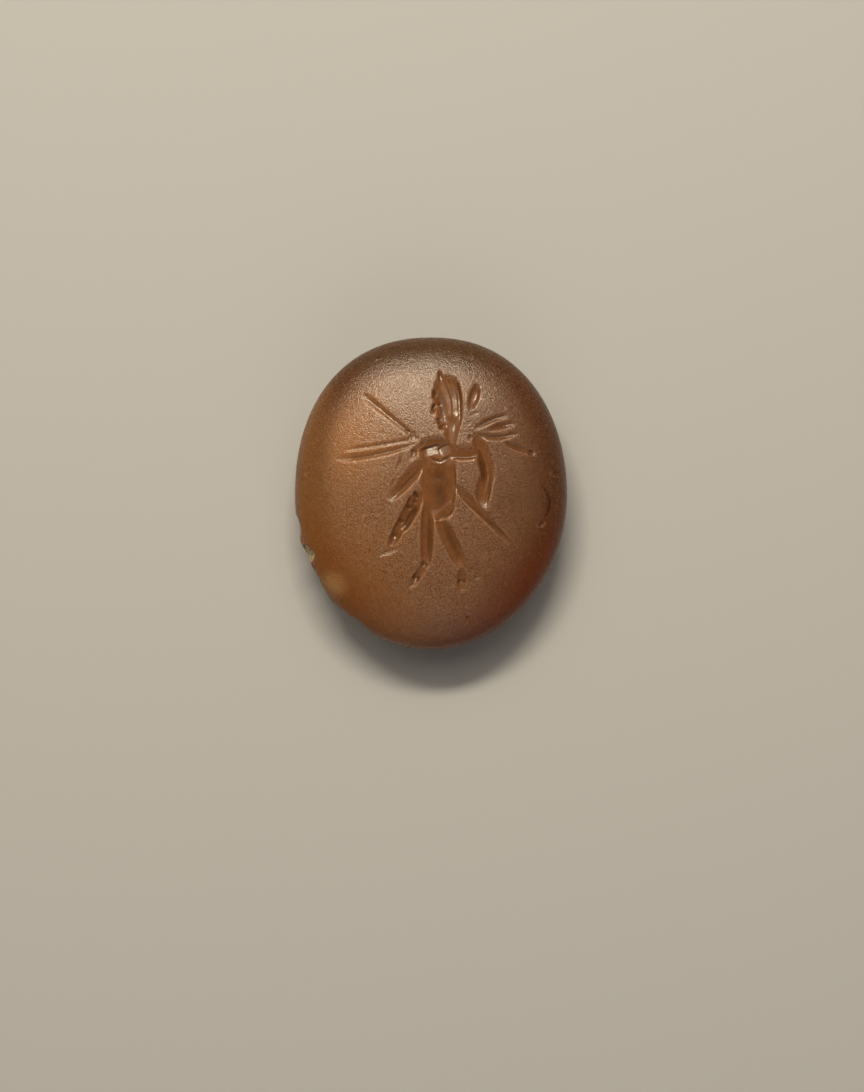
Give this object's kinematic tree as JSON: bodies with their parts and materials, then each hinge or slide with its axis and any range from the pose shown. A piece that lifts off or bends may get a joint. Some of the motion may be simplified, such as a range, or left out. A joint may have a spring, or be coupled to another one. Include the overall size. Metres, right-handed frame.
{
  "type": "intaglio gem",
  "caption": "Oval domed ringstone of carnelian with a flat back, slanted side and a striding figure with staff and branch cut into its face.",
  "frame": {"origin": "middle of the oval outline, on the flat back", "axes": "+Z out of the engraved face, +Y up the engraved figure from feet to head, +X to the right of someone who looks at the face"},
  "size_m": [0.011, 0.0126, 0.0038],
  "materials": {
    "carnelian": "worn satin polish on the domed face, brighter polish inside the cuts, faintly translucent"
  },
  "bodies": {
    "root": {"carnelian_intaglio_gem": "carnelian"}
  },
  "joints": []
}
